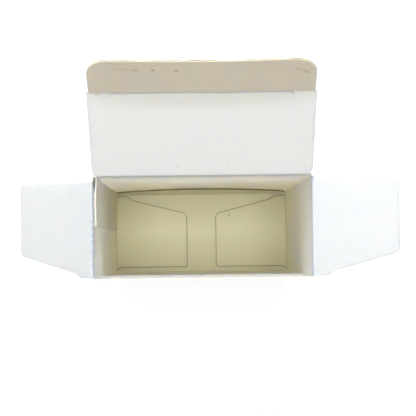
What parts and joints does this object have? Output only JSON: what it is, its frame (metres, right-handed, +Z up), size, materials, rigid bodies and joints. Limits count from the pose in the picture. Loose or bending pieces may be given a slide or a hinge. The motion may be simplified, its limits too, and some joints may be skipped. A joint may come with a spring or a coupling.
{
  "type": "reverse tuck folding carton",
  "caption": "Small upright white paperboard carton, open at the top, with a tuck-in lid, spread dust flaps and a tucked bottom.",
  "frame": {"origin": "centre of the carton's underside, on the surface it stands on", "axes": "+Z up along the upright walls, +X to the right along the wide side, -Y towards the front wall; the lid is hinged on the +Y wall"},
  "size_m": [0.105, 0.0555, 0.1302],
  "materials": {
    "board_inside": "matte",
    "board_lid": "matte",
    "board_flaps": "matte"
  },
  "bodies": {
    "carton": {"carton_body": "board_inside"},
    "lid": {"lid": "board_lid"},
    "lid_tuck": {"lid_tuck": "board_lid"},
    "left_flap": {"left_dust_flap": "board_flaps"},
    "right_flap": {"right_dust_flap": "board_flaps"},
    "bottom": {"bottom_lid": "board_inside"},
    "bottom_tuck": {"bottom_tuck": "board_inside"}
  },
  "joints": [
    {"name": "lid_hinge", "type": "hinge", "parent": "carton", "child": "lid", "pos_m": [0, 0.014, 0.10175], "axis": [-1, 0, 0], "range_deg": [-139.5, 24.5]},
    {"name": "lid_tuck_fold", "type": "hinge", "parent": "lid", "child": "lid_tuck", "pos_m": [0, 0.03461, 0.11935], "axis": [1, 0, 0], "range_deg": [-18.6, 105.5]},
    {"name": "left_flap_hinge", "type": "hinge", "parent": "carton", "child": "left_flap", "pos_m": [-0.02975, 0, 0.1011], "axis": [0, -1, 0], "range_deg": [-212, 8]},
    {"name": "right_flap_hinge", "type": "hinge", "parent": "carton", "child": "right_flap", "pos_m": [0.02975, 0, 0.1011], "axis": [0, 1, 0], "range_deg": [-192, 28]},
    {"name": "bottom_hinge", "type": "hinge", "parent": "carton", "child": "bottom", "pos_m": [0, -0.014, 0.00025], "axis": [-1, 0, 0], "range_deg": [0, 110]},
    {"name": "bottom_tuck_fold", "type": "hinge", "parent": "bottom", "child": "bottom_tuck", "pos_m": [0, 0.0131, 0.00025], "axis": [1, 0, 0], "range_deg": [0, 49.5]}
  ],
  "couplings": [
    {"joint": "lid_tuck_fold", "follows": "lid_hinge", "ratio": -0.755},
    {"joint": "bottom_tuck_fold", "follows": "bottom_hinge", "ratio": 0.45}
  ]
}
